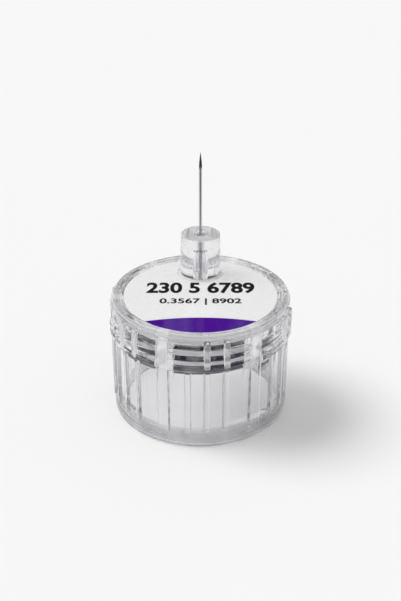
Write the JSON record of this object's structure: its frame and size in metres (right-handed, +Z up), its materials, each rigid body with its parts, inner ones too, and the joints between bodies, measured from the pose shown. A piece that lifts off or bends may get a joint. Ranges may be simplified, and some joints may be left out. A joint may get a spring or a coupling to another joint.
{
  "type": "pen needle",
  "caption": "Clear ribbed screw-on needle hub with an off-centre boss, a fine steel cannula, and a round label with a violet colour field",
  "frame": {"origin": "on the hub's own axis, at the height of the open rim that it stands on", "axes": "+Z up along the hub's axis, from the open end to the needle's point; -Y towards the colour field, +Y towards the boss; +X to the right"},
  "size_m": [0.0106, 0.0106, 0.0147],
  "materials": {
    "clear_plastic": "clear, moulded and polished",
    "steel": "drawn stainless steel tube",
    "adhesive": "clear cured adhesive",
    "label_film": "pale semi-gloss film",
    "violet_film": "deep violet semi-gloss film"
  },
  "bodies": {
    "root": {"hub": "clear_plastic", "cannula": "steel", "adhesive": "adhesive", "label": "label_film", "colour_field": "violet_film"}
  },
  "joints": []
}
